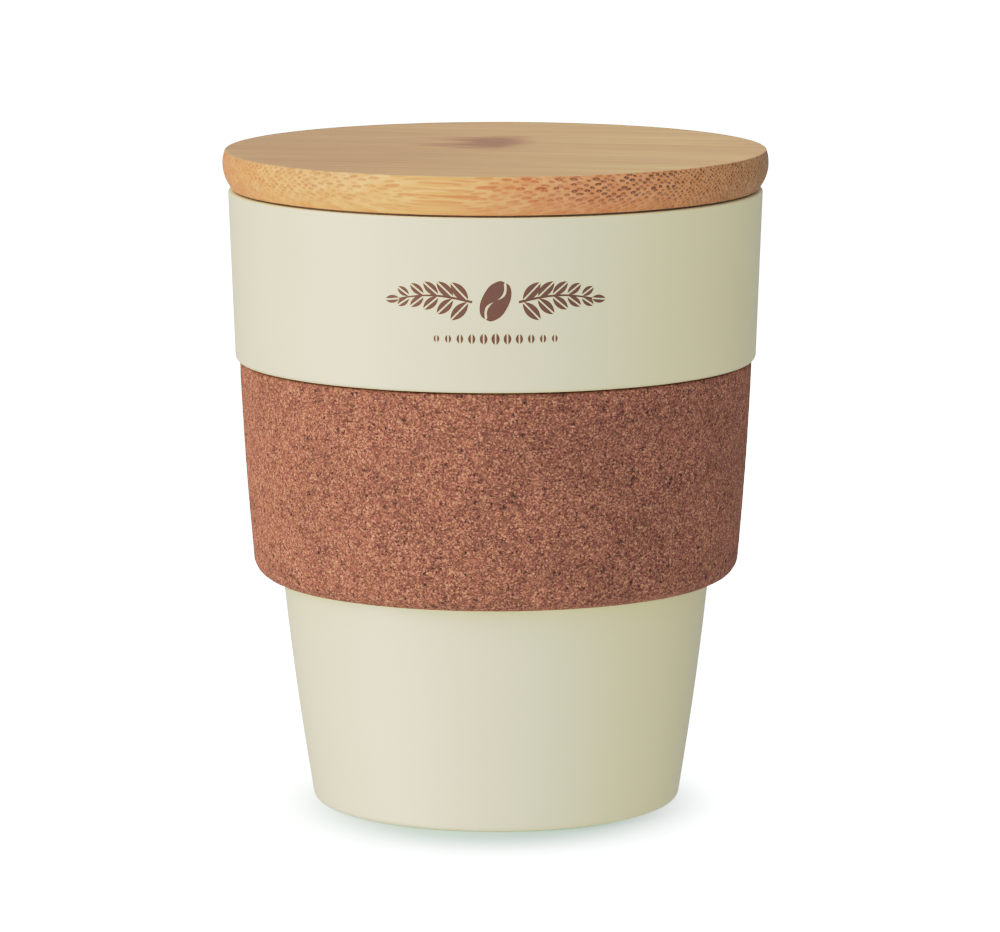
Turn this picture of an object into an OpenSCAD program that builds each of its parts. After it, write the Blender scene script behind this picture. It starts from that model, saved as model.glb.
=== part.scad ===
// Collapsible travel cup in two telescoping stages.
// The lower stage is a closed tumbler. It slides up into the upper stage, which has a wide band at its
// mouth and a cork grip sleeve below the band. A round bamboo lid with a plug and a seal closes the mouth.
// Millimetres. The origin is the centre of the resting face, and +Z points up. The stages are drawn extended.

/* [Lower stage] */
// Outer radius at the foot, before the edge is rounded
foot_r = 31.05; // [30:0.05:32]
// Outer radius where the wall enters the upper stage
waist_r = 36.27; // [36:0.01:36.3]
// Height of the upper stage's lower edge above the resting face
waist_z = 38.8; // [36:0.1:40]
// Outward bow of the wall at half height
lower_bow = 0.33; // [0:0.01:0.4]
// Height of the stage's own rim
lower_h = 49; // [48.5:0.1:52]
// Thickness of the wall
lower_wall = 1.7; // [1.4:0.1:2]
// Thickness of the floor
floor_t = 2.4; // [1.8:0.1:3.5]
// Radius of the outer edge of the foot
foot_edge_r = 1.4; // [0.6:0.1:1.6]
// Width of the ring that the cup stands on
foot_ring_w = 4; // [3:0.5:8]
// Depth of the recess inside that ring
foot_recess = 0.6; // [0.3:0.1:1]

/* [Upper stage] */
// Outer radius of the band at the rim
rim_r = 45.13; // [45:0.01:45.5]
// Height of the rim
rim_z = 104.4; // [102:0.1:108]
// Outer radius of the band at its lower edge
band_low_r = 44.05; // [43.9:0.01:44.3]
// Height of the band's lower edge
band_z = 75.65; // [74:0.05:77]
// Radius of the band's lower edge
band_low_edge_r = 0.8; // [0.3:0.1:1]
// Radius of the rim's outer edge
rim_edge_r = 0.35; // [0.2:0.05:0.8]
// Inner radius of the mouth, where the lid's seal fits
mouth_r = 43.2; // [43:0.1:43.4]
// Height of the mouth's straight stretch
mouth_h = 7.6; // [7:0.1:9]
// Thickness of the wall behind the cork
sleeve_wall = 1.45; // [1.3:0.05:1.5]
// Inner radius of the lip that holds the lower stage
lip_r = 36.75; // [36.7:0.01:36.8]
// Height of that lip
lip_h = 1.9; // [1.6:0.1:1.9]

/* [Cork sleeve] */
// Outer radius of the cork at its top
cork_top_r = 43.38; // [43:0.01:43.5]
// Outer radius of the cork at its bottom
cork_low_r = 40.88; // [40.7:0.01:41.2]
// Outward bow of the cork's side at half height
cork_bow = 0.26; // [0:0.01:0.35]
// Thickness of the cork at its top
cork_top_t = 2.3; // [2.2:0.05:2.4]
// Thickness of the cork at its bottom
cork_low_t = 2.2; // [2.1:0.05:2.3]
// Radius of the cork's lower outer edge
cork_low_edge_r = 3.6; // [3:0.1:5]
// Radius of the cork's upper outer edge
cork_top_edge_r = 0.5; // [0.3:0.1:0.8]
// Open joint between the cork and the band
cork_joint = 0.3; // [0.1:0.05:0.5]

/* [Lid] */
// Radius of the bamboo disc where it is widest
lid_r = 46.1; // [45.5:0.1:47]
// Thickness of the bamboo disc
lid_t = 6.5; // [6:0.1:7.5]
// Height of the disc's widest place above its underside
lid_wide_h = 4.2; // [3:0.1:4.5]
// Radius of the disc's barrel-shaped side, seen in section
lid_side_r = 6.3; // [5.5:0.1:9]
// Radius of the disc's upper edge
lid_top_edge_r = 0.3; // [0.2:0.1:0.6]
// Radius of the disc's lower edge
lid_low_edge_r = 0.5; // [0.3:0.1:0.8]
// Radius of the boss that centres the plug in the disc
boss_r = 38; // [30:0.5:40]
// Height of that boss
boss_h = 0.9; // [0.5:0.1:1.5]
// Depth of the plug below the disc
plug_h = 7; // [6.8:0.1:7]
// Thickness of the plug's plate
plug_plate_t = 1.9; // [1.5:0.1:2.5]
// Thickness of the plug's skirt
plug_wall = 1.7; // [1.4:0.1:2.2]

/* [Seals] */
// Radial clearance of each seal at rest
seal_fit = 0.05; // [0.02:0.01:0.1]
// Height of the groove that the stage seal lies in
stage_groove_h = 2.4; // [2:0.1:2.6]
// Depth of that groove
stage_groove_d = 0.9; // [0.7:0.1:1]
// Thickness of the lid seal's flange, under the disc
flange_t = 0.2; // [0.15:0.01:0.22]
// Radius of the flange
flange_r = 44.2; // [43.6:0.1:44.2]
// Radius of the tip of each fin
fin_tip_r = 0.3; // [0.2:0.05:0.4]

/* [Hidden] */
$fn = 180;

// Segments of a bowed wall, of the disc's side and of a rounded edge
wall_steps = 8;
side_steps = 12;
edge_steps = 8;

// Segments of the seals' round beads and fin tips
bead_segments = 48;
fin_segments = 32;

// Clearances between glued or clipped pieces of one body
glue_gap = 0.03;

// The upper stage's sleeve, behind the cork
sleeve_lift = 0.3;
sleeve_z = waist_z + sleeve_lift;
seat_low_r = cork_low_r - cork_low_t;
seat_top_r = cork_top_r - cork_top_t;
lip_top_z = sleeve_z + lip_h;
shoulder_drop = 1.7;
shoulder_z = band_z - shoulder_drop;
band_wall = 1.85;
mouth_edge_r = 0.5;

// The lower stage's collar, which hangs on the lip with seat_gap below it and collar_gap round it
seat_gap = 0.12;
collar_gap = 0.19;
collar_low_z = lip_top_z + seat_gap - (lip_r - lower_r(lip_top_z));
collar_r = throat_r(lip_top_z) - collar_gap;
collar_wall = 1.8;
collar_edge_r = 0.6;
inner_corner_r = 4;
groove_lift = 5.6;
groove_z = waist_z + groove_lift;
seal_z = groove_z + stage_groove_h / 2;

// The cork
cork_z = waist_z;
cork_top_z = band_z - cork_joint;

// The lid
lid_gap = 0.3;
disc_z = rim_z + lid_gap;
disc_top_z = disc_z + lid_t;
boss_side_gap = 0.2;
boss_top_gap = 0.1;
plug_z = disc_z - plug_h;
plug_neck_r = 41;
plug_ledge_r = 42.4;
plug_ledge_h = 1.9;
plug_low_edge_r = 0.5;
seal_ledge_z = plug_z + plug_ledge_h;
seal_body_r = 42.2;
fin_reach = mouth_r - seal_fit - fin_tip_r;
fin_t = 0.5;
fin_lifts = [1.1, 2.9];

// Radius of a wall that runs from r0 to r1 with an outward bow, at the share t of its height
function bowed(r0, r1, bow, t) = r0 + (r1 - r0) * t + 4 * bow * t * (1 - t);

// Lean of such a wall from the vertical, in degrees, at the share t of its height h
function lean(r0, r1, bow, h, t) = atan((r1 - r0 + 4 * bow * (1 - 2 * t)) / h);

// Outer radius of the lower stage at height z, and of the cork
function lower_r(z) = bowed(foot_r, waist_r, lower_bow, z / waist_z);
function cork_r(z) = bowed(cork_low_r, cork_top_r, cork_bow, (z - cork_z) / (cork_top_z - cork_z));

// Outer and inner radius of the upper stage's sleeve at height z
function seat_r(z) = seat_low_r + (seat_top_r - seat_low_r) * (z - sleeve_z) / (band_z - sleeve_z);
function throat_r(z) = seat_r(z) - sleeve_wall;

// Outer radius of the band at height z
function band_r(z) = band_low_r + (rim_r - band_low_r) * (z - band_z) / (rim_z - band_z);

// Points of an arc about c, from angle a0 to angle a1
function arc(c, r, a0, a1) = [
    for (i = [0:edge_steps])
        let (a = a0 + (a1 - a0) * i / edge_steps)
            [c[0] + r * cos(a), c[1] + r * sin(a)]
];

// Convex edge between a level face at z and a wall of radius wall_r that leans outward by tilt
function low_edge(wall_r, z, r, tilt) = arc([wall_r - r * cos(tilt), z + r], r, -90, -tilt);
function top_edge(wall_r, z, r, tilt) = arc([wall_r - r * cos(tilt), z - r], r, -tilt, 90);

// Closed tumbler that the cup stands on, with a collar and a seal groove at its rim
module lower_stage() {
    foot_tilt = lean(foot_r, waist_r, lower_bow, waist_z, 0);
    foot_z = foot_edge_r * (1 - sin(foot_tilt));
    foot_in_r = lower_r(foot_z) - foot_edge_r - foot_ring_w;
    collar_top_z = collar_low_z + collar_r - lower_r(collar_low_z);
    groove_r = collar_r - stage_groove_d;
    wall_top_z = lower_h - 2 * collar_edge_r;
    bore_top_r = collar_r - collar_wall;
    bore_low_r = lower_r(floor_t + inner_corner_r) - lower_wall;
    outer = [
        for (i = [1:wall_steps])
            let (z = foot_z + (collar_low_z - foot_z) * i / wall_steps)
                [lower_r(z), z]
    ];
    bore = [
        for (i = [0:wall_steps - 1])
            let (z = collar_low_z - (collar_low_z - floor_t - inner_corner_r) * i / wall_steps)
                [lower_r(z) - lower_wall, z]
    ];
    color("ivory")
        rotate_extrude()
            polygon(concat(
                [[0, foot_recess], [foot_in_r, foot_recess], [foot_in_r + foot_recess, 0]],
                low_edge(lower_r(foot_z), 0, foot_edge_r, foot_tilt),
                outer,
                [
                    [collar_r, collar_top_z],
                    [collar_r, groove_z],
                    [groove_r, groove_z],
                    [groove_r, groove_z + stage_groove_h],
                    [collar_r, groove_z + stage_groove_h]
                ],
                top_edge(collar_r, lower_h, collar_edge_r, 0),
                arc([bore_top_r + collar_edge_r, lower_h - collar_edge_r], collar_edge_r, 90, 180),
                [[bore_top_r, wall_top_z]],
                bore,
                arc([bore_low_r - inner_corner_r, floor_t + inner_corner_r], inner_corner_r, 0, -90),
                [[0, floor_t]]
            ));
}

// Silicone ring in the lower stage's groove, with one rounded bead that meets the upper stage
module stage_seal() {
    ring_in_r = collar_r - stage_groove_d + glue_gap;
    bead_r = stage_groove_h / 4;
    bead_x = throat_r(seal_z) - seal_fit - bead_r;
    color("dimgray")
        rotate_extrude()
            union() {
                translate([ring_in_r, groove_z + glue_gap])
                    square([bead_x - ring_in_r, stage_groove_h - 2 * glue_gap]);
                translate([bead_x, seal_z])
                    circle(r = bead_r, $fn = bead_segments);
            }
}

// Open-ended shell: a wide band at the mouth, a narrower sleeve for the cork, and a lip at the bottom
module upper_stage() {
    band_tilt = atan((rim_r - band_low_r) / (rim_z - band_z));
    mouth_low_z = rim_z - mouth_h;
    seat_z = lip_top_z + throat_r(lip_top_z) - lip_r;
    bevel = band_r(shoulder_z) - band_wall - throat_r(shoulder_z);
    color("ivory")
        rotate_extrude()
            polygon(concat(
                [
                    [lip_r, sleeve_z],
                    [seat_low_r, sleeve_z],
                    [seat_top_r, band_z]
                ],
                low_edge(band_r(band_z + band_low_edge_r), band_z, band_low_edge_r, band_tilt),
                top_edge(band_r(rim_z - rim_edge_r), rim_z, rim_edge_r, band_tilt),
                arc([mouth_r + mouth_edge_r, rim_z - mouth_edge_r], mouth_edge_r, 90, 180),
                [
                    [mouth_r, mouth_low_z],
                    [band_r(shoulder_z + bevel) - band_wall, shoulder_z + bevel],
                    [throat_r(shoulder_z), shoulder_z],
                    [throat_r(seat_z), seat_z],
                    [lip_r, lip_top_z]
                ]
            ));
}

// Cork ring around the upper stage's sleeve, under the band
module cork_sleeve() {
    cork_h = cork_top_z - cork_z;
    low_tilt = lean(cork_low_r, cork_top_r, cork_bow, cork_h, 0);
    top_tilt = lean(cork_low_r, cork_top_r, cork_bow, cork_h, 1);
    low_z = cork_z + cork_low_edge_r * (1 - sin(low_tilt));
    high_z = cork_top_z - cork_top_edge_r * (1 + sin(top_tilt));
    seat_x = seat_r(cork_z) + glue_gap;
    low_x = cork_r(low_z) - cork_low_edge_r * cos(low_tilt);
    under = acos((seat_x - low_x) / cork_low_edge_r);
    low_c = [low_x, cork_z + cork_low_edge_r * sin(under)];
    side = [
        for (i = [1:wall_steps - 1])
            let (z = low_z + (high_z - low_z) * i / wall_steps)
                [cork_r(z), z]
    ];
    color("peru")
        rotate_extrude()
            polygon(concat(
                arc(low_c, cork_low_edge_r, -under, -low_tilt),
                side,
                top_edge(cork_r(high_z), cork_top_z, cork_top_edge_r, top_tilt),
                [[seat_r(cork_top_z) + glue_gap, cork_top_z]]
            ));
}

// Bamboo disc with a barrel-shaped side, and a shallow recess underneath for the plug's boss
module lid_disc() {
    recess_r = boss_r + boss_side_gap;
    recess_h = boss_h + boss_top_gap;
    side_c = [lid_r - lid_side_r, disc_z + lid_wide_h];
    low_turn = asin((lid_wide_h - lid_low_edge_r) / (lid_side_r - lid_low_edge_r));
    top_turn = asin((lid_t - lid_wide_h - lid_top_edge_r) / (lid_side_r - lid_top_edge_r));
    low_c = [side_c[0] + (lid_side_r - lid_low_edge_r) * cos(low_turn), disc_z + lid_low_edge_r];
    top_c = [side_c[0] + (lid_side_r - lid_top_edge_r) * cos(top_turn), disc_top_z - lid_top_edge_r];
    side = [
        for (i = [1:side_steps - 1])
            let (a = -low_turn + (low_turn + top_turn) * i / side_steps)
                [side_c[0] + lid_side_r * cos(a), side_c[1] + lid_side_r * sin(a)]
    ];
    color("burlywood")
        rotate_extrude()
            polygon(concat(
                [[0, disc_z + recess_h], [recess_r, disc_z + recess_h], [recess_r, disc_z]],
                arc(low_c, lid_low_edge_r, -90, -low_turn),
                side,
                arc(top_c, lid_top_edge_r, top_turn, 90),
                [[0, disc_top_z]]
            ));
}

// Shallow plastic cup, open below, glued under the disc; its neck and ledge carry the seal
module lid_plug() {
    skirt_in_r = plug_neck_r - plug_wall;
    plate_z = disc_z - plug_plate_t;
    color("white")
        rotate_extrude()
            polygon(concat(
                [[0, plate_z], [skirt_in_r, plate_z], [skirt_in_r, plug_z]],
                low_edge(plug_ledge_r, plug_z, plug_low_edge_r, 0),
                [
                    [plug_ledge_r, seal_ledge_z],
                    [plug_neck_r, seal_ledge_z],
                    [plug_neck_r, disc_z - glue_gap],
                    [boss_r, disc_z - glue_gap],
                    [boss_r, disc_z + boss_h],
                    [0, disc_z + boss_h]
                ]
            ));
}

// Silicone ring around the plug's neck, with two fins for the mouth and a thin flange under the disc
module lid_seal() {
    ring_in_r = plug_neck_r + glue_gap;
    flange_z = disc_z - glue_gap - flange_t;
    color("dimgray")
        rotate_extrude()
            union() {
                translate([ring_in_r, seal_ledge_z + glue_gap])
                    square([seal_body_r - ring_in_r, flange_z + flange_t - seal_ledge_z - glue_gap]);
                translate([ring_in_r, flange_z])
                    square([flange_r - ring_in_r, flange_t]);
                for (lift = fin_lifts) {
                    translate([ring_in_r, seal_ledge_z + lift - fin_t / 2])
                        square([fin_reach - ring_in_r, fin_t]);
                    translate([fin_reach, seal_ledge_z + lift])
                        circle(r = fin_tip_r, $fn = fin_segments);
                }
            }
}

lower_stage();
stage_seal();
upper_stage();
cork_sleeve();
lid_disc();
lid_plug();
lid_seal();
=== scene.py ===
import math

import bmesh
import bpy
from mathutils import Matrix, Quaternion, Vector, noise


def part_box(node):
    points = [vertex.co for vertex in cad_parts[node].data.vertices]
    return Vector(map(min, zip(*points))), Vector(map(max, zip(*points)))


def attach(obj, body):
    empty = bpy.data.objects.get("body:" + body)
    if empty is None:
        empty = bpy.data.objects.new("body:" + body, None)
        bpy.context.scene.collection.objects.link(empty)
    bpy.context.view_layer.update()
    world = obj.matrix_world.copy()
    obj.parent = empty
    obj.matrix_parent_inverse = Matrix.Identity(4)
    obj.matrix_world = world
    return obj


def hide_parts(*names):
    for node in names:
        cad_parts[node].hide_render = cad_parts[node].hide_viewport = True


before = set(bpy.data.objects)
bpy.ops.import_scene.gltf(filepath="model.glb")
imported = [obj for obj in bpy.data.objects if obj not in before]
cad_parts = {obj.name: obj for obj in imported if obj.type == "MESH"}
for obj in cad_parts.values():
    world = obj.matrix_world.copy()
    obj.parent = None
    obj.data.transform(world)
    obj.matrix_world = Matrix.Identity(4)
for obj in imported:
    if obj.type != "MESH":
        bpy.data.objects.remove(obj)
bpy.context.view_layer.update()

MM = 0.001
TO_MM = 1000.0

# Segments round each revolved piece, and the angle from which an edge is sharp
ROUND_SEGMENTS = 384
CORK_SEGMENTS = 720
SHARP = math.radians(32)


# ---------------------------------------------------------------- outlines read off the CAD frame

# Vertices within SNAP m lie on one ring, and a ring under AXIS_R m is a point on the axis
SNAP = 4e-6
AXIS_R = 1e-5


class Rings:
    """Groups the vertices of a revolved mesh into rings of one radius and height."""

    def __init__(self):
        self.points = []
        self.cells = {}

    def find(self, co):
        """Index of the ring that holds this vertex, made if it is new."""
        point = (math.hypot(co.x, co.y), co.z)
        cell = (round(point[0] / SNAP), round(point[1] / SNAP))
        for i in (-1, 0, 1):
            for j in (-1, 0, 1):
                found = self.cells.get((cell[0] + i, cell[1] + j))
                if found is not None:
                    return found
        self.cells[cell] = len(self.points)
        self.points.append(point)
        return len(self.points) - 1


def outline(node):
    """Ordered (radius, height) points of a revolved CAD node, and whether they close into a loop."""
    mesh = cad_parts[node].data
    rings = Rings()
    ring_of = [rings.find(v.co) for v in mesh.vertices]
    beside = {}
    for edge in mesh.edges:
        a, b = (ring_of[i] for i in edge.vertices)
        if a != b:
            beside.setdefault(a, set()).add(b)
            beside.setdefault(b, set()).add(a)
    ends = [ring for ring, near in beside.items() if len(near) == 1]
    here = min(ends, key=lambda ring: rings.points[ring][1]) if ends else min(beside)
    order, seen = [], set()
    while here is not None:
        order.append(rings.points[here])
        seen.add(here)
        here = next((ring for ring in sorted(beside[here]) if ring not in seen), None)
    if ends:
        order = [(0.0, order[0][1])] + order + [(0.0, order[-1][1])]
    return order, not ends


def refined(points, closed, step):
    """The same outline with no stretch longer than step(radius, height)."""
    out = []
    following = points[1:] + points[:1] if closed else points[1:]
    for (r0, z0), (r1, z1) in zip(points, following):
        length = math.hypot(r1 - r0, z1 - z0)
        parts = max(1, math.ceil(length / step((r0 + r1) / 2, (z0 + z1) / 2)))
        out += [(r0 + (r1 - r0) * i / parts, z0 + (z1 - z0) * i / parts) for i in range(parts)]
    return out if closed else out + [points[-1]]


def radius_at(points, z):
    """Largest radius of an outline at height z."""
    hits = []
    for (r0, z0), (r1, z1) in zip(points, points[1:]):
        if min(z0, z1) <= z <= max(z0, z1) and abs(z1 - z0) > SNAP:
            hits.append(r0 + (r1 - r0) * (z - z0) / (z1 - z0))
    return max(hits)


# ---------------------------------------------------------------- mesh pieces

def mesh_object(name, bm):
    """Object of a finished bmesh, smooth but for its sharp edges."""
    bmesh.ops.recalc_face_normals(bm, faces=bm.faces)
    mesh = bpy.data.meshes.new(name)
    bm.to_mesh(mesh)
    bm.free()
    mesh.shade_smooth()
    mesh.set_sharp_from_angle(angle=SHARP)
    piece = bpy.data.objects.new(name, mesh)
    bpy.context.scene.collection.objects.link(piece)
    return piece


def lathe(points, closed, segments):
    """bmesh of an outline turned about +Z."""
    bm = bmesh.new()
    turns = [2 * math.pi * k / segments for k in range(segments)]
    rings = []
    for r, z in points:
        if r < AXIS_R:
            rings.append([bm.verts.new((0, 0, z))])
        else:
            rings.append([bm.verts.new((r * math.cos(a), r * math.sin(a), z)) for a in turns])
    following = rings[1:] + rings[:1] if closed else rings[1:]
    for low, high in zip(rings, following):
        for k in range(segments):
            n = k + 1
            corners = (low[k % len(low)], low[n % len(low)], high[n % len(high)], high[k % len(high)])
            bm.faces.new(list(dict.fromkeys(corners)))
    return bm


def displace(bm, height):
    """Moves every vertex along its normal by height(place in mm, normal), in mm."""
    bmesh.ops.recalc_face_normals(bm, faces=bm.faces)
    bm.normal_update()
    moves = [(v, v.normal * height(v.co * TO_MM, v.normal) * MM) for v in bm.verts]
    for v, move in moves:
        v.co += move


def finish_piece(piece, body, material, slot, *nodes):
    """Gives a piece its material, its CAD body and the nodes that it stands for."""
    piece.data.materials.append(material)
    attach(piece, body)
    if nodes:
        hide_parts(*nodes)
    return piece


# ---------------------------------------------------------------- material nodes

class Nodes:
    """Short calls that add nodes to one node tree."""

    def __init__(self, tree):
        self.tree = tree

    def node(self, kind, **settings):
        made = self.tree.nodes.new(kind)
        for name, value in settings.items():
            setattr(made, name, value)
        return made

    def put(self, socket, value):
        """Links or sets one input."""
        if isinstance(value, bpy.types.NodeSocket):
            self.tree.links.new(value, socket)
        elif value is not None:
            socket.default_value = value

    def math(self, operation, a, b=None, clamp=False):
        """One sum, product or function of one or two values."""
        made = self.node("ShaderNodeMath", operation=operation, use_clamp=clamp)
        for socket, value in zip(made.inputs, (a, b)):
            self.put(socket, value)
        return made.outputs[0]

    def plus(self, a, b):
        return self.math("ADD", a, b)

    def minus(self, a, b):
        return self.math("SUBTRACT", a, b)

    def times(self, a, b):
        return self.math("MULTIPLY", a, b)

    def over(self, a, b):
        return self.math("DIVIDE", a, b)

    def length(self, a, b):
        """Length of the vector (a, b)."""
        return self.math("SQRT", self.plus(self.times(a, a), self.times(b, b)))

    def vector(self, operation, a, b=None, scale=None):
        made = self.node("ShaderNodeVectorMath", operation=operation)
        self.put(made.inputs[0], a)
        if b is not None:
            self.put(made.inputs[1], b)
        if scale is not None:
            self.put(made.inputs["Scale"], scale)
        return made.outputs[0]

    def split(self, vector):
        made = self.node("ShaderNodeSeparateXYZ")
        self.put(made.inputs[0], vector)
        return made.outputs[0], made.outputs[1], made.outputs[2]

    def join(self, x, y, z):
        made = self.node("ShaderNodeCombineXYZ")
        for socket, value in zip(made.inputs, (x, y, z)):
            self.put(socket, value)
        return made.outputs[0]

    def noise(self, vector, scale, detail=2.0, roughness=0.5, output="Fac"):
        """Noise, 0 to 1, with scale in features a millimetre."""
        made = self.node("ShaderNodeTexNoise")
        self.put(made.inputs["Vector"], vector)
        self.put(made.inputs["Scale"], scale)
        self.put(made.inputs["Detail"], detail)
        self.put(made.inputs["Roughness"], roughness)
        return made.outputs[output]

    def long_noise(self, axes, scales, detail=2.0, roughness=0.5):
        """Noise with its own scale along each axis. An axis may be a number or a value that has no scale."""
        scaled = [axis if scale is None else self.times(axis, scale) for axis, scale in zip(axes, scales)]
        return self.noise(self.join(*scaled), 1.0, detail, roughness)

    def voronoi(self, vector, scale, dimensions="3D", feature="F1", randomness=1.0):
        made = self.node("ShaderNodeTexVoronoi", voronoi_dimensions=dimensions, feature=feature)
        self.put(made.inputs["Vector"], vector)
        self.put(made.inputs["Scale"], scale)
        self.put(made.inputs["Randomness"], randomness)
        return made

    def random(self, value):
        """White noise colour of a number."""
        made = self.node("ShaderNodeTexWhiteNoise", noise_dimensions="1D")
        self.put(made.inputs["W"], value)
        return made.outputs["Color"]

    def turned(self, vector, angle):
        """The vector turned about +Z, as its three parts."""
        made = self.node("ShaderNodeVectorRotate", rotation_type="Z_AXIS")
        self.put(made.inputs["Vector"], vector)
        self.put(made.inputs["Angle"], angle)
        return self.split(made.outputs[0])

    def span(self, value, low, high, to_low=0.0, to_high=1.0, smooth=True):
        """Maps low..high to to_low..to_high, clamped."""
        kind = "SMOOTHSTEP" if smooth else "LINEAR"
        made = self.node("ShaderNodeMapRange", interpolation_type=kind)
        for name, setting in (("Value", value), ("From Min", low), ("From Max", high),
                              ("To Min", to_low), ("To Max", to_high)):
            self.put(made.inputs[name], setting)
        return made.outputs["Result"]

    def ramp(self, value, stops):
        """Colour ramp through (position, colour) stops."""
        made = self.node("ShaderNodeValToRGB")
        self.put(made.inputs[0], value)
        elements = made.color_ramp.elements
        while len(elements) < len(stops):
            elements.new(0.5)
        for element, (position, colour) in zip(elements, stops):
            element.position = position
            element.color = (*colour, 1.0)
        return made.outputs["Color"]

    def mix(self, factor, a, b, blend="MIX"):
        """Mix of two colours."""
        made = self.node("ShaderNodeMix", data_type="RGBA", blend_type=blend)
        self.put(made.inputs["Factor"], factor)
        self.put(made.inputs[6], (*a, 1.0) if isinstance(a, tuple) else a)
        self.put(made.inputs[7], (*b, 1.0) if isinstance(b, tuple) else b)
        return made.outputs[2]

    def shade(self, value):
        """Grey of a value."""
        return self.join(value, value, value)

    def tinted(self, colour, value):
        """The colour made darker or lighter by a factor."""
        return self.mix(1.0, colour, self.shade(value), "MULTIPLY")


class Paint(Nodes):
    """One material's node tree. Lengths are millimetres in the row frame."""

    def __init__(self, name):
        self.material = bpy.data.materials.new(name)
        self.material.use_nodes = True
        super().__init__(self.material.node_tree)
        self.shader = self.tree.nodes["Principled BSDF"]
        place = self.node("ShaderNodeTexCoord").outputs["Object"]
        self.place = self.vector("SCALE", place, scale=TO_MM)
        self.normal = self.node("ShaderNodeNewGeometry").outputs["Normal"]

    def bump(self, height, distance, normal=None):
        """Normal of a height in 0..1 that stands distance millimetres high."""
        made = self.node("ShaderNodeBump")
        self.put(made.inputs["Height"], height)
        self.put(made.inputs["Distance"], distance * MM)
        self.put(made.inputs["Strength"], 1.0)
        self.put(made.inputs["Normal"], normal)
        return made.outputs["Normal"]

    def set(self, **sockets):
        """Sets or links the shader's own sockets, with underscores for spaces."""
        for name, value in sockets.items():
            value = (*value, 1.0) if isinstance(value, tuple) and "Color" in name else value
            self.put(self.shader.inputs[name.replace("_", " ")], value)


SATIN_ROUGHNESS = (0.28, 0.35)
DUST_TONE = (0.35, 0.32, 0.28)


def plastic_material(name, colour, grain=0.012, haze=0.0):
    """Satin moulded polypropylene: fine mould grain, faint flow shading and light handling scuffs."""
    p = Paint(name)
    flow = p.noise(p.place, 0.045, detail=3.0)
    fine = p.noise(p.place, 9.0, detail=2.0, roughness=0.6)
    speck = p.noise(p.place, 2.6, detail=1.0)
    tone = p.plus(p.span(flow, 0.3, 0.7, 0.985, 1.01), p.span(speck, 0.25, 0.75, -0.006, 0.006))
    p.set(Base_Color=p.tinted(colour, tone))
    hair = p.long_noise(p.split(p.place), (0.35, 0.35, 7.0), detail=4.0, roughness=0.7)
    scuff = p.times(p.span(hair, 0.6, 0.72), p.span(p.noise(p.place, 0.16), 0.48, 0.66))
    low, high = (limit + haze for limit in SATIN_ROUGHNESS)
    rough = p.span(p.noise(p.place, 0.4, detail=3.0), 0.3, 0.7, low, high)
    p.set(Roughness=p.plus(rough, p.times(scuff, 0.1)))
    p.set(IOR=1.49, Specular_IOR_Level=0.5, Subsurface_Weight=0.06, Subsurface_Scale=0.0012)
    p.set(Normal=p.bump(scuff, 0.006, normal=p.bump(fine, grain)))
    return p.material


def silicone_material(name, colour):
    """Silicone with a dusty, slightly uneven surface, coloured dark so that the seal under the lid stands in
    for the shadow in the gap there.
    """
    p = Paint(name)
    cloud = p.noise(p.place, 0.5, detail=3.0)
    dust = p.span(p.noise(p.place, 14.0, detail=1.0), 0.62, 0.74)
    base = p.tinted(colour, p.span(cloud, 0.3, 0.7, 0.93, 1.03))
    p.set(Base_Color=p.mix(p.times(dust, 0.12), base, DUST_TONE))
    p.set(Roughness=p.span(cloud, 0.3, 0.7, 0.42, 0.58), IOR=1.41)
    p.set(Normal=p.bump(p.noise(p.place, 5.0, detail=3.0), 0.01))
    return p.material


def ink_material(name, colour):
    """Pad-printed brown ink: even, slightly mottled, with a matte film."""
    p = Paint(name)
    mottle = p.noise(p.place, 3.0, detail=4.0, roughness=0.65)
    p.set(Base_Color=p.tinted(colour, p.span(mottle, 0.3, 0.7, 0.9, 1.1)))
    p.set(Roughness=p.span(mottle, 0.35, 0.65, 0.48, 0.6), IOR=1.5)
    p.set(Normal=p.bump(p.noise(p.place, 12.0, detail=2.0), 0.006))
    return p.material


# ---------------------------------------------------------------- cork

# Cells a millimetre of each kind of granule, and how far a slow noise bends them, in mm
CORK_GRAINS, CORK_LUMPS, CORK_FLECKS, CORK_SPECKS, CORK_CHIPS = 4.3, 1.15, 1.9, 1.45, 0.62
CORK_BEND_SCALE, CORK_BEND = 2.2, 0.13

GRAIN_TONES = (
    (0.0, (0.060, 0.017, 0.012)),
    (0.2, (0.205, 0.062, 0.038)),
    (0.5, (0.385, 0.134, 0.080)),
    (0.8, (0.600, 0.238, 0.138)),
    (1.0, (0.880, 0.450, 0.260)),
)
LUMP_TONES = (
    (0.0, (0.22, 0.064, 0.044)),
    (0.35, (0.37, 0.120, 0.088)),
    (0.7, (0.40, 0.150, 0.072)),
    (1.0, (0.54, 0.225, 0.120)),
)
FLECK_TONE = (0.80, 0.43, 0.225)
BARK_TONE = (0.026, 0.012, 0.011)
LUMP_SHARE = 0.26


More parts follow.
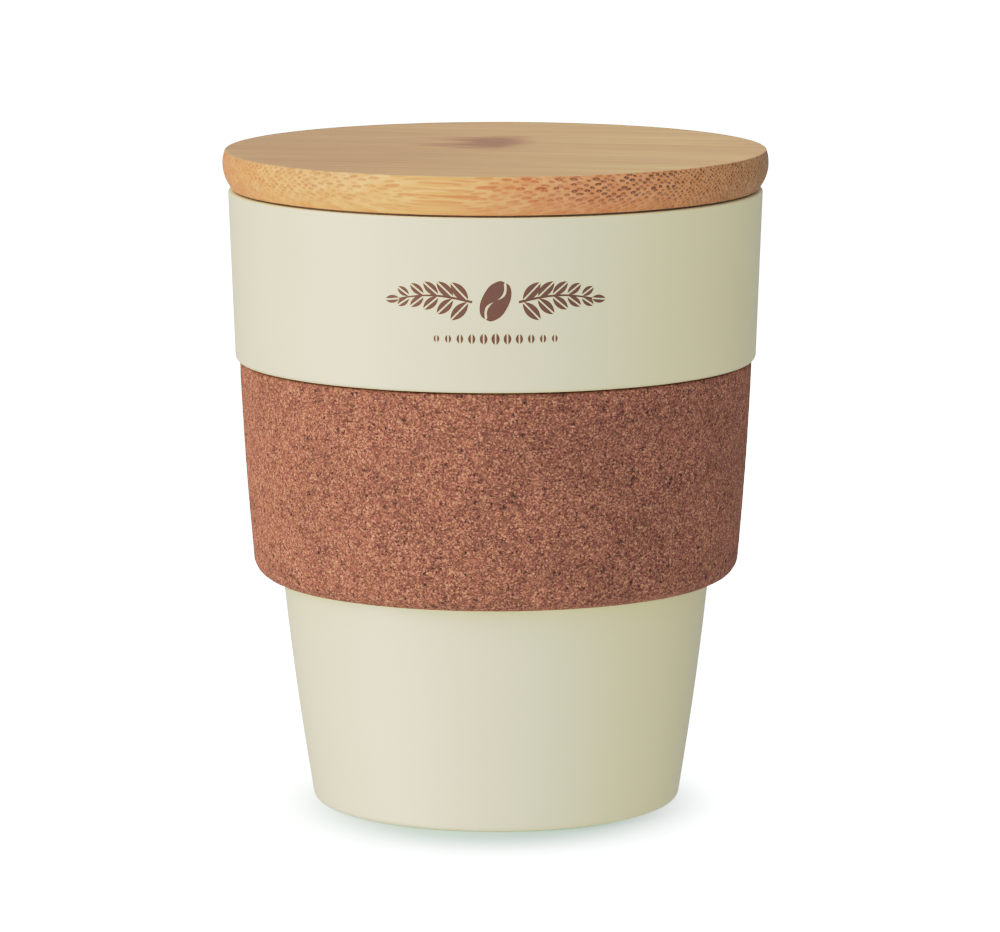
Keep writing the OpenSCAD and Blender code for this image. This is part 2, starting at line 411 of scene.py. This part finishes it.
def cork_bark(p, bent, fine, fine_pick):
    """Dark specks of bark, 0 to 1: dust among the grains, round specks and ragged chips."""
    dust = p.times(p.span(fine_pick, 0.12, 0.07), p.span(fine.outputs["Distance"], 0.5, 0.3))
    ragged = p.span(p.noise(p.place, 3.5), 0.2, 0.8, -0.14, 0.14)
    cells = p.voronoi(bent, CORK_SPECKS)
    specks = p.times(p.span(p.split(cells.outputs["Color"])[0], 0.24, 0.20),
                     p.span(p.plus(cells.outputs["Distance"], ragged), 0.34, 0.20))
    cells = p.voronoi(bent, CORK_CHIPS)
    pick, size, _ = p.split(cells.outputs["Color"])
    reach = p.span(size, 0.0, 1.0, 0.17, 0.32)
    chips = p.times(p.span(pick, 0.70, 0.74), p.span(p.plus(cells.outputs["Distance"], ragged), reach, 0.09))
    return p.math("MAXIMUM", p.math("MAXIMUM", dust, specks), chips)


def cork_flecks(p, bent):
    """Pale tan flecks, 0 to 1."""
    cells = p.voronoi(bent, CORK_FLECKS)
    return p.times(p.span(p.split(cells.outputs["Color"])[0], 0.90, 0.94),
                   p.span(cells.outputs["Distance"], 0.46, 0.2))


def cork_material(name):
    """Agglomerated cork: pressed granules of many browns, pale flecks and dark bark specks."""
    p = Paint(name)
    bend = p.noise(p.place, CORK_BEND_SCALE, output="Color")
    bent = p.vector("ADD", p.place, p.vector("SCALE", bend, scale=CORK_BEND))
    fine = p.voronoi(bent, CORK_GRAINS)
    fine_tone, fine_pick, _ = p.split(fine.outputs["Color"])
    lump_tone = p.split(p.voronoi(bent, CORK_LUMPS).outputs["Color"])[0]
    bark = cork_bark(p, bent, fine, fine_pick)
    colour = p.mix(LUMP_SHARE, p.ramp(fine_tone, GRAIN_TONES), p.ramp(lump_tone, LUMP_TONES))
    colour = p.mix(p.times(cork_flecks(p, bent), 0.8), colour, FLECK_TONE)
    colour = p.mix(p.times(bark, 0.86), colour, BARK_TONE)

    # Slow drift of tone over the sleeve, and darker joints between the grains
    drift = p.span(p.noise(p.place, 0.11, detail=3.0), 0.3, 0.7, 0.92, 1.08)
    mottle = p.span(p.noise(p.place, 0.75, detail=3.0), 0.3, 0.7, 0.9, 1.1)
    crack = p.voronoi(bent, CORK_GRAINS, feature="DISTANCE_TO_EDGE").outputs["Distance"]
    joint = p.span(crack, 0.0, 0.10, 0.60, 1.0)
    p.set(Base_Color=p.tinted(colour, p.times(p.times(drift, mottle), joint)))
    p.set(Roughness=p.span(fine_tone, 0.0, 1.0, 0.78, 0.95))
    p.set(IOR=1.45, Specular_IOR_Level=0.3, Diffuse_Roughness=0.4)
    relief = p.minus(p.times(joint, 0.6), p.times(bark, 0.5))
    relief = p.plus(relief, p.times(p.noise(p.place, 7.0, detail=2.0), 0.5))
    relief = p.plus(relief, p.times(fine_pick, 0.25))
    p.set(Normal=p.bump(relief, 0.07))
    return p.material


# ---------------------------------------------------------------- bamboo

# Strips lie side by side along the grain, with their hard outer side up. Lengths in mm
GRAIN_TURN = math.radians(11)
STRIP_W = 23.5
STRIP_SHIFT = 29.2
DISC_R = 46.0

# Fibre bundles: spacing across and in depth, and radius
COARSE_BUNDLES = (0.98, 1.02, 0.31)
FINE_BUNDLES = (0.92, 0.80, 0.22)
BUNDLE_SCATTER = 0.42

# Tones of the wood from streak to streak, on top and on the edge, where the edge's brighter orange is partly
# the cut wood and partly painted light; and a painted tint of light and shade along the edge from left to
# right
TOP_TONES = ((0.72, 0.410, 0.176), (0.90, 0.545, 0.268))
EDGE_TONES = ((0.84, 0.300, 0.098), (1.00, 0.415, 0.165))
EDGE_PAINTED_TINTS = (
    (0.0, (0.86, 0.76, 0.80)),
    (0.12, (0.97, 0.92, 0.98)),
    (0.3, (1.0, 1.0, 1.0)),
    (0.72, (1.0, 1.0, 1.0)),
    (1.0, (0.74, 0.92, 0.98)),
)
SAP_ALONG, SAP_ACROSS = (0.62, 0.165, 0.045), (0.125, 0.042, 0.017)
# Painted highlight: the pale glint on the pores where the edge cuts them end on
PAINTED_PORE_GLINT = (0.95, 0.68, 0.42)
SEAM_TONE = (0.30, 0.13, 0.06)

# The culm's joint, which darkens the top: its middle, how far it trails, and its half-width
KNOT_PLACE = (-2.0, 8.5)
KNOT_TRAIL, KNOT_FRONT, KNOT_SIDE = (8.0, 18.0), 7.5, 15.0
KNOT_TONE = (0.33, 0.13, 0.075)
KNOT_SHARE = 0.74


class BambooPaint(Paint):
    """Laminated bamboo whose fibre bundles run through the whole disc along the grain."""

    def __init__(self, name, top_z):
        super().__init__(name)
        self.along, self.across, self.z = self.turned(self.place, GRAIN_TURN)
        self.cup_x = self.split(self.place)[0]
        self.depth = self.minus(top_z, self.z)
        strips = self.over(self.plus(self.across, STRIP_SHIFT), STRIP_W)
        self.strip = self.math("FLOOR", strips)
        self.seam = self.span(self.times(self.math("PINGPONG", strips, 0.5), STRIP_W), 0.12, 0.03)
        # Whether a face is the disc's edge, and how squarely it cuts the fibres
        face_along, _, face_up = self.turned(self.normal, GRAIN_TURN)
        self.side_on = self.span(self.math("ABSOLUTE", face_up), 0.88, 0.6)
        self.end_on = self.span(self.math("ABSOLUTE", face_along), 0.12, 0.6)

    def bundles(self, across, depth, pitch, row_pitch, radius):
        """Fibre bundles in a staggered grid across the grain: a dark sheath round a paler core, where the
        painted glint of the pores goes.
        """
        a, b = self.over(across, pitch), self.over(depth, row_pitch)
        u, v = self.plus(a, b), self.minus(a, b)
        cell = self.voronoi(self.join(u, v, 0.0), 1.0, dimensions="2D", randomness=BUNDLE_SCATTER)
        cell_u, cell_v, _ = self.split(cell.outputs["Position"])
        pick, other, _ = self.split(cell.outputs["Color"])
        off_u, off_v = self.minus(u, cell_u), self.minus(v, cell_v)
        dx = self.times(self.plus(off_u, off_v), pitch / 2)
        dz = self.times(self.minus(off_u, off_v), row_pitch / 2)
        size = self.span(pick, 0.0, 1.0, 0.75, 1.15)
        sheath = self.span(self.over(self.length(dx, dz), size), radius, radius * 0.62)
        pore = self.length(dx, self.minus(dz, radius * 0.3))
        core = self.span(pore, radius * 0.36, radius * 0.16)
        mark = self.times(sheath, self.minus(1.0, self.times(core, 0.45)))
        return self.times(mark, self.span(other, 0.0, 1.0, 0.55, 1.0)), core

    def marks(self):
        """Strength of the bundles and their cores: coarse on the front strip, fine on the others, and drawn
        fainter at the lit left and stronger at the shaded right as painted light and shade.
        """
        drift = self.long_noise((self.along, self.strip, 0.0), (0.025, 3.7, None), detail=1.0)
        sway = self.long_noise((self.along, self.across, self.z), (0.14, 0.5, 0.5))
        lift = self.long_noise((self.along, self.across, 7.0), (0.09, 0.3, None))
        across = self.plus(self.across, self.plus(self.times(drift, 2.4), self.times(sway, 0.8)))
        level = self.plus(self.depth, self.times(lift, 0.9))
        coarse, coarse_core = self.bundles(across, level, *COARSE_BUNDLES)
        fine, fine_core = self.bundles(across, level, *FINE_BUNDLES)
        is_fine = self.math("GREATER_THAN", self.strip, -0.5)
        mark = self.mix(is_fine, self.join(coarse, coarse_core, 0.0), self.join(fine, fine_core, 0.0))
        mark, core, _ = self.split(mark)
        fade = self.plus(self.span(self.depth, 2.0, 6.5, 1.0, 0.32),
                         self.times(is_fine, self.span(self.depth, 2.0, 6.0, 0.0, 0.45)))
        # Painted light and shade: the bundles fade towards the lit left and grow stronger towards the shaded
        # right
        strength = self.times(fade, self.span(self.cup_x, -DISC_R, 14.0, 0.50, 1.15))
        return self.times(mark, strength), core

    def ground(self, fibre):
        """The wood between the bundles, streaked along the grain, with painted light and shade across the
        disc.
        """
        axes = (self.along, self.across, self.z)
        streak = self.span(self.long_noise(axes, (0.014, 0.95, 0.9), detail=3.0, roughness=0.6), 0.3, 0.7)
        cloud = self.long_noise((self.along, self.across, self.strip), (0.03, 0.1, None), detail=2.0)
        # Top and edge tones: the edge's brighter orange is partly the cut wood and partly painted light
        ground = self.mix(self.side_on, self.mix(streak, *TOP_TONES), self.mix(streak, *EDGE_TONES))
        strip_pick = self.split(self.random(self.strip))[2]
        tone = self.times(self.span(fibre, 0.25, 0.75, 0.90, 1.08), self.span(cloud, 0.3, 0.7, 0.95, 1.05))
        tone = self.times(tone, self.span(strip_pick, 0.0, 1.0, 0.96, 1.03))
        # Painted reflection on the top, darker at the left and lighter at the right, and painted shade on the
        # edge, darker towards the right
        painted_top_reflection = self.shade(self.span(self.cup_x, -DISC_R, 30.0, 0.83, 1.05))
        painted_edge_shade = self.shade(self.span(self.cup_x, -12.0, 26.0, 1.03, 0.86))
        tone = self.times(tone, self.mix(self.side_on, painted_top_reflection, painted_edge_shade))
        ground = self.tinted(ground, tone)
        # Painted light and shade: the edge is tinted darker and pinker at the far left and cooler towards the
        # right
        painted_edge_tints = self.ramp(self.span(self.cup_x, -DISC_R, DISC_R, smooth=False), EDGE_PAINTED_TINTS)
        return self.mix(self.side_on, ground, self.mix(1.0, ground, painted_edge_tints, "MULTIPLY"))

    def knot(self):
        """The darkened joint on top: a short dark core, with lobes that trail along the grain."""
        along = self.minus(self.along, KNOT_PLACE[0])
        beside = self.minus(self.across, KNOT_PLACE[1])
        aside = self.math("ABSOLUTE", beside)
        wander = self.long_noise((self.along, self.across, 4.0), (0.12, 0.7, None), detail=3.0)
        wobble = self.span(wander, 0.25, 0.75, -0.22, 0.22)
        trail = self.minus(self.span(aside, 0.5, 5.5, *KNOT_TRAIL), self.span(aside, 6.5, 11.0, 0.0, 11.0))
        length = self.plus(self.times(self.math("LESS_THAN", along, 0.0), trail),
                           self.times(self.math("GREATER_THAN", along, 0.0), KNOT_FRONT))
        reach = self.length(self.over(along, length), self.over(beside, KNOT_SIDE))
        lobes = self.span(self.plus(reach, wobble), 1.05, 0.25)
        heart = self.span(self.plus(self.math("ABSOLUTE", along), self.times(wobble, 9.0)), 4.6, 0.4)
        heart = self.times(heart, self.span(aside, 10.0, 3.0))
        dark = self.math("ADD", self.times(lobes, 0.95), self.times(heart, 0.4), clamp=True)
        on_top = self.times(dark, self.minus(1.0, self.side_on))
        return self.times(on_top, self.span(self.depth, 2.0, 0.8))


def bamboo_material(name, top_z):
    """Sanded laminated bamboo."""
    p = BambooPaint(name, top_z)
    mark, core = p.marks()
    fibre = p.long_noise((p.along, p.across, p.z), (0.05, 4.2, 4.2), detail=4.0, roughness=0.62)
    amount = p.times(mark, p.span(p.side_on, 0.0, 1.0, 0.05, 0.86))
    colour = p.mix(amount, p.ground(fibre), p.mix(p.end_on, SAP_ALONG, SAP_ACROSS))
    # Painted highlight: pale glints on the bundles' cores where the edge cuts the fibres end on
    glint = p.times(p.times(core, p.side_on), p.times(p.end_on, 0.12))
    colour = p.mix(glint, colour, PAINTED_PORE_GLINT)
    colour = p.mix(p.times(p.seam, 0.25), colour, SEAM_TONE)
    colour = p.mix(p.times(p.knot(), KNOT_SHARE), colour, KNOT_TONE)
    p.set(Base_Color=colour)
    p.set(Roughness=p.plus(p.span(fibre, 0.3, 0.7, 0.44, 0.58), p.times(amount, 0.12)))
    p.set(IOR=1.5, Specular_IOR_Level=0.4)
    relief = p.minus(p.minus(p.times(fibre, 0.7), p.times(amount, 0.6)), p.times(p.seam, 0.5))
    p.set(Normal=p.bump(relief, 0.035))
    return p.material


# ---------------------------------------------------------------- the cup's materials

CREAM = (0.920, 0.830, 0.500)
WHITE = (0.78, 0.78, 0.74)
# Painted shade: the seals' dark colour stands in for the shadow in the gap under the lid
SEAL_DARK_AS_GAP_SHADE = (0.085, 0.052, 0.026)
BROWN = (0.150, 0.054, 0.033)
LID_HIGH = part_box("lid_disc")[1]

cream = plastic_material("cream_polypropylene", CREAM)
white = plastic_material("white_polypropylene", WHITE, grain=0.006, haze=0.06)
silicone = silicone_material("silicone_dark_as_gap_shade", SEAL_DARK_AS_GAP_SHADE)
ink = ink_material("brown_ink", BROWN)
cork = cork_material("pressed_cork")
bamboo = bamboo_material("laminated_bamboo", LID_HIGH.z * TO_MM)


# ---------------------------------------------------------------- the bamboo disc

# Lengths in mm: the rim that is meshed finely, the mesh steps, and the sanding's depth and unevenness
LID_RIM, LID_RIM_STEP, LID_STEP = 3.5, 0.35, 1.8
SANDED, UNEVEN = 0.02, 0.012


def make_lid():
    """The disc: a flat top with a softened edge, turned, and sanded slightly uneven."""
    points, closed = outline("lid_disc")
    rim = LID_HIGH.x - LID_RIM * MM
    points = refined(points, closed, lambda r, z: LID_RIM_STEP * MM if r > rim else LID_STEP * MM)
    bm = lathe(points, closed, ROUND_SEGMENTS)

    def sanding(place, normal):
        along = noise.noise(Vector((place.x * 0.05, place.y * 0.9, place.z * 0.9)))
        slow = noise.noise(place * 0.07)
        return -SANDED - UNEVEN * along - UNEVEN * slow

    displace(bm, sanding)
    return finish_piece(mesh_object("bamboo_disc", bm), "lid", bamboo, "bamboo", "lid_disc")


# ---------------------------------------------------------------- the cork sleeve

CORK_LOW, CORK_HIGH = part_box("cork_sleeve")
CORK_STEP, CORK_HIDDEN_STEP = 0.42, 3.0
# How far past the sleeve's smallest radius its outside begins at the bottom, and how much more at the top
CORK_WALL, CORK_FLARE = 1.3, 2.2
GRANULE, SWELL, PIT = 0.045, 0.03, 0.09
PIT_FROM = 0.42
PIT_SHIFT = Vector((40, 0, 0))


def make_cork():
    """The sleeve, with the small pits and raised granules of pressed cork on its outside."""
    points, closed = outline("cork_sleeve")
    inner = min(r for r, z in points)

    def outside(r, z):
        share = (z - CORK_LOW.z) / (CORK_HIGH.z - CORK_LOW.z)
        return r > inner + (CORK_WALL + share * CORK_FLARE) * MM

    points = refined(points, closed, lambda r, z: CORK_STEP * MM if outside(r, z) else CORK_HIDDEN_STEP * MM)
    bm = lathe(points, closed, CORK_SEGMENTS)

    def granules(place, normal):
        if normal.x * place.x + normal.y * place.y < 0:
            return 0.0
        near = noise.voronoi(place * 1.25)[0][0]
        swell = noise.noise(place * 0.5)
        pit = noise.noise(place * 1.7 + PIT_SHIFT)
        return GRANULE * (0.5 - near) + SWELL * swell - PIT * max(0.0, pit - PIT_FROM)

    displace(bm, granules)
    return finish_piece(mesh_object("cork_grip", bm), "upper", cork, "cork", "cork_sleeve")


# ---------------------------------------------------------------- the plastic stages and the plug

PLAIN_STEP = 2.5
GATE_R = 1.5
GATE_H = 0.25


def make_plain(name, node, body, material, slot, reshape=None):
    """A moulded piece turned from its CAD outline."""
    points, closed = outline(node)
    if reshape:
        points = reshape(points)
    points = refined(points, closed, lambda r, z: PLAIN_STEP * MM)
    bm = lathe(points, closed, ROUND_SEGMENTS)
    return finish_piece(mesh_object(name, bm), body, material, slot, node)


def with_gate(points):
    """Adds the mould gate's small nub in the recess under the foot."""
    recess = points[0][1]
    low = recess - GATE_H * MM
    return [(0.0, low), ((GATE_R - GATE_H) * MM, low), (GATE_R * MM, recess)] + points[1:]


def paint_seals():
    """The seals keep their CAD meshes."""
    for seal in ("stage_seal", "lid_seal"):
        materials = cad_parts[seal].data.materials
        materials.clear()
        materials.append(silicone)


# ---------------------------------------------------------------- the printed ornament

# Ink film in mm over and under the band's surface, and the ornament's middle height and scale
INK_T = 0.025
INK_SINK = -0.02
ORNAMENT_Z = 89.6
ORNAMENT_SIZE = 0.9
BAND = outline("upper_stage")[0]

# Ornament sizes, before its scale
LEAF_GAP = 0.13
BEAN_GAP = 0.2
BEAN_FURROW = 0.16
THINNEST = 0.012
BEAN_AT, BEAN_TURN, BEAN_SIZE = (0.0, 1.4), math.radians(62), (7.6, 5.0)
STEM_FROM, STEM_LENGTH, STEM_Z, STEM_RISE = 4.2, 13.6, 1.2, 1.1
LEAF_PAIRS = 5
TIP_LEAF = (2.6, 1.25)
SEED_PITCH, SEED_Z, SEED_SIZE = 2.15, -5.6, (2.1, 1.25)


def on_band(u, v, lift):
    """Place lift mm outside the band, u mm right of the front and v mm above the ornament's middle."""
    u, v = u * ORNAMENT_SIZE, v * ORNAMENT_SIZE
    z = (ORNAMENT_Z + v) * MM
    r = radius_at(BAND, z) + lift * MM
    turn = u * MM / r
    return r * math.sin(turn), -r * math.cos(turn), z


def ribbon(bm, line, half_width, steps=22, lanes=4):
    """A closed film of varying width along a line, both given by functions of 0..1."""
    spread = [2 * k / lanes - 1 for k in range(lanes + 1)]
    loops = []
    for i in range(steps + 1):
        t = i / steps
        u, v = line(t)
        u1, v1 = line(min(1.0, t + 0.01))
        u0, v0 = line(max(0.0, t - 0.01))
        length = math.hypot(u1 - u0, v1 - v0)
        w = max(half_width(t), THINNEST)
        nu, nv = w * (v0 - v1) / length, w * (u1 - u0) / length
        top = [bm.verts.new(on_band(u + nu * s, v + nv * s, INK_T)) for s in spread]
        bottom = [bm.verts.new(on_band(u + nu * s, v + nv * s, INK_SINK)) for s in spread]
        loops.append(top + bottom[::-1])
    around = len(loops[0])
    for here, there in zip(loops, loops[1:]):
        for k in range(around):
            n = (k + 1) % around
            bm.faces.new((here[k], here[n], there[n], there[k]))
    bm.faces.new(loops[0])
    bm.faces.new(loops[-1])


def turned_line(u, v, angle, along, off):
    """A line whose point at t lies along(t) and off(t) from (u, v), in axes turned by an angle."""
    ca, sa = math.cos(angle), math.sin(angle)

    def line(t):
        s, d = along(t), off(t)
        return u + ca * s - sa * d, v + sa * s + ca * d
    return line


def leaf(bm, u, v, angle, length, width):
    """A pointed leaf in two halves, with an unprinted midrib."""
    def half_width(t):
        return width * 0.25 * math.sin(math.pi * t) ** 0.8

    for side in (-1, 1):
        line = turned_line(u, v, angle, lambda t: t * length,
                           lambda t, side=side: side * (LEAF_GAP + half_width(t)))
        ribbon(bm, line, half_width)


def bean(bm, u, v, angle, length, width):
    """A coffee bean: an oval in two halves with a curved furrow between them."""
    def furrow(t):
        return BEAN_FURROW * width * math.sin(2 * math.pi * t)

    def edge(t):
        return 0.5 * width * math.sqrt(max(0.0, 1 - (2 * t - 1) ** 2))

    for side in (-1, 1):
        def middle(t, side=side):
            return (furrow(t) + side * BEAN_GAP + side * edge(t)) / 2

        def half_width(t, side=side):
            return max(0.0, side * (side * edge(t) - furrow(t) - side * BEAN_GAP) / 2)

        ribbon(bm, turned_line(u, v, angle, lambda t: (t - 0.5) * length, middle), half_width, steps=30)


def sprig(bm, side):
    """A stem that leads outward from the bean on one side, with pairs of leaves and one at its tip."""
    def stem(t):
        return side * (STEM_FROM + STEM_LENGTH * t), STEM_Z + STEM_RISE * math.sin(math.pi * t * 0.9)

    def outward(angle):
        return angle if side > 0 else math.pi - angle

    ribbon(bm, stem, lambda t: 0.24 - 0.1 * t, steps=40, lanes=2)
    for i in range(LEAF_PAIRS):
        u, v = stem(0.04 + 0.2 * i)
        for way in (-1, 1):
            lean = math.radians(46 - 3 * i) * way
            leaf(bm, u + side * 0.3, v + 0.25 * way, outward(lean), 4.3 - 0.45 * i, 1.9 - 0.16 * i)
    leaf(bm, *stem(1.0), outward(math.radians(-6)), *TIP_LEAF)


def make_ornament():
    """Leaf sprigs either side of a coffee bean, over a row of seeds. It stands in for a printed mark."""
    bm = bmesh.new()
    bean(bm, *BEAN_AT, BEAN_TURN, *BEAN_SIZE)
    for side in (-1, 1):
        sprig(bm, side)
    for i in range(-5, 6):
        size = 1.0 - 0.07 * abs(i)
        length, width = (s * size for s in SEED_SIZE)
        leaf(bm, i * SEED_PITCH, SEED_Z - 0.95 * size, math.pi / 2, length, width)
    return finish_piece(mesh_object("printed_ornament", bm), "upper", ink, "cream_plastic")


# ---------------------------------------------------------------- floor, light and camera

# The floor's painted glow burns it out to white past SHADOW_END and shapes the shadow at the foot; the
# floor's colour is a painted cyan shade for that shadow. Lengths in mm round a place before the foot
FLOOR_SHADOW_TINT = (0.60, 0.84, 0.77)
FLOOR_GLOW = 4.0
FLOOR_HALF_M = 4.0
SHADOW_START = 26.0
SHADOW_END = 56.0
SHADOW_FORWARD = 6.0
SHADOW_NARROW = 1.2


def floor_material():
    """Floor with a painted glow that rises away from the cup's foot and so shapes the shadow there; its
    colour is a painted cyan shade for that shadow.
    """
    p = Paint("pale_floor")
    mottle = p.span(p.noise(p.place, 0.004), 0.3, 0.7, 0.99, 1.01)
    base = p.mix(1.0, p.shade(mottle), FLOOR_SHADOW_TINT, "MULTIPLY")
    p.set(Base_Color=base, Roughness=0.9, Specular_IOR_Level=0.0)
    x, y, _ = p.split(p.place)
    away = p.node("ShaderNodeVectorMath", operation="LENGTH")
    p.put(away.inputs[0], p.join(p.times(x, SHADOW_NARROW), p.plus(y, SHADOW_FORWARD), 0.0))
    # Painted light: the floor glows, from nothing near the foot to full away from it, so the glow shapes the
    # shadow there
    glow = p.span(away.outputs["Value"], SHADOW_START, SHADOW_END, 0.0, FLOOR_GLOW)
    p.set(Emission_Color=(1.0, 1.0, 1.0), Emission_Strength=glow)
    return p.material


def make_floor():
    """A wide floor that burns out to white with its painted glow, but for the shadow at the foot, which the
    glow shapes.
    """
    bm = bmesh.new()
    bmesh.ops.create_grid(bm, x_segments=8, y_segments=8, size=FLOOR_HALF_M)
    floor = mesh_object("studio_floor", bm)
    floor.data.materials.append(floor_material())
    floor.visible_diffuse = False
    floor.visible_glossy = False


# The one lamp: azimuth right of the camera and elevation in degrees, distance and size in m
BOX_AZIMUTH, BOX_ELEVATION = math.radians(-60), math.radians(25)
BOX_DISTANCE = 1.3
BOX_AIM = Vector((0, 0, 0.06))
BOX_SIZE = (0.45, 0.6)
BOX_POWER = 5.2
BOX_COLOUR = (1.0, 0.98, 0.93)


def make_softbox():
    """A rectangular softbox at the left, which brings out the surfaces' relief."""
    lamp = bpy.data.lights.new("left_box", "AREA")
    lamp.shape = "RECTANGLE"
    lamp.size, lamp.size_y = BOX_SIZE
    lamp.energy = BOX_POWER
    lamp.color = BOX_COLOUR
    box = bpy.data.objects.new("left_box", lamp)
    level = math.cos(BOX_ELEVATION)
    back = Vector((math.sin(BOX_AZIMUTH) * level, -math.cos(BOX_AZIMUTH) * level, math.sin(BOX_ELEVATION)))
    box.location = BOX_AIM + back * BOX_DISTANCE
    box.rotation_euler = (-back).to_track_quat("-Z", "Y").to_euler()
    bpy.context.scene.collection.objects.link(box)


# Studio walls: the azimuths in degrees right of the camera where each rises and falls, brightness and colour
BASE_CARD = (0.22, (0.95, 1.01, 1.0))
CARDS = (
    ((-93, -81), (-51, -39), 2.4, (1.04, 1.0, 0.93)),
    ((-51, -39), (-12, -4), 0.62, (1.04, 1.0, 0.93)),
    ((-4, 4), (60, 72), 0.79, (0.96, 0.995, 1.12)),
)
BACK_CARD = (0.22, (1.0, 1.0, 1.0))
BACK_EDGE = (135, 155)
# Elevations between which the walls give way to the ceiling, and its brightness beside theirs
CEILING = (50, 80)
CEILING_LIGHT = 0.5


def lit(power, colour):
    """Colour of a card of this brightness."""
    return tuple(power * c for c in colour)


def make_world():
    """The studio as the cup sees it: a large bright card at the left and front, a dimmer one at the right."""
    world = bpy.data.worlds.new("studio")
    world.use_nodes = True
    bpy.context.scene.world = world
    w = Nodes(world.node_tree)
    x, y, z = w.split(w.node("ShaderNodeTexCoord").outputs["Generated"])
    turn = w.math("DEGREES", w.math("ARCTAN2", x, w.times(y, -1.0)))
    rise = w.math("DEGREES", w.math("ARCSINE", z))
    light = w.join(*lit(*BASE_CARD))
    for (low, high), (fall, end), power, colour in CARDS:
        share = w.times(w.span(turn, low, high), w.span(turn, end, fall))
        light = w.vector("ADD", light, w.vector("SCALE", lit(power, colour), scale=share))
    behind = w.span(w.math("ABSOLUTE", turn), *BACK_EDGE)
    light = w.vector("ADD", light, w.vector("SCALE", lit(*BACK_CARD), scale=behind))
    light = w.vector("SCALE", light, scale=w.span(rise, *CEILING, 1.0, CEILING_LIGHT))
    sky = world.node_tree.nodes["Background"]
    w.put(sky.inputs["Color"], light)
    w.put(sky.inputs["Strength"], 1.0)


# Camera: lengths in m, and the focal length and sensor width in mm
CAMERA_DISTANCE = 1.016
CAMERA_ELEVATION = math.radians(8.91)
CAMERA_AIM = (0.0007, 0.0, 0.0569)
CAMERA_ROLL = math.radians(-0.06)
CAMERA_LENS = 215.2
SENSOR = 36.0


def make_camera():
    """A long lens at the photo's angle."""
    data = bpy.data.cameras.new("camera")
    data.sensor_width = SENSOR
    data.lens = CAMERA_LENS
    data.clip_start, data.clip_end = 0.05, 20.0
    camera = bpy.data.objects.new("camera", data)
    back = Vector((0, -math.cos(CAMERA_ELEVATION), math.sin(CAMERA_ELEVATION)))
    camera.location = Vector(CAMERA_AIM) + back * CAMERA_DISTANCE
    aim = (-back).to_track_quat("-Z", "Y") @ Quaternion((0, 0, 1), CAMERA_ROLL)
    camera.rotation_euler = aim.to_euler()
    bpy.context.scene.collection.objects.link(camera)
    bpy.context.scene.camera = camera


# A photographic shoulder: scene brightness and the brightness it is shown at
FILM_CURVE = ((0.0, 0.0), (0.3, 0.3), (0.6, 0.55), (0.86, 0.645), (1.2, 0.735), (2.0, 0.88), (3.2, 1.0))
# The view's curves are those for red, green, blue and all three
ALL_CHANNELS = 3


def make_film():
    """Standard view with the highlights rolled off by the film curve."""
    view = bpy.context.scene.view_settings
    view.view_transform = "Standard"
    view.use_curve_mapping = True
    mapping = view.curve_mapping
    white_level = FILM_CURVE[-1][0]
    mapping.white_level = (white_level, white_level, white_level)
    curve = mapping.curves[ALL_CHANNELS]
    for scene_value, shown in FILM_CURVE[1:-1]:
        curve.points.new(scene_value / white_level, shown)
    mapping.update()


# ---------------------------------------------------------------- the scene

make_lid()
make_cork()
make_plain("cream_upper_shell", "upper_stage", "upper", cream, "cream_plastic")
make_plain("cream_lower_cup", "lower_stage", "base", cream, "cream_plastic", reshape=with_gate)
make_plain("lid_insert", "lid_plug", "lid", white, "white_plastic")
paint_seals()
make_ornament()
make_floor()
make_world()
make_softbox()
make_camera()
make_film()
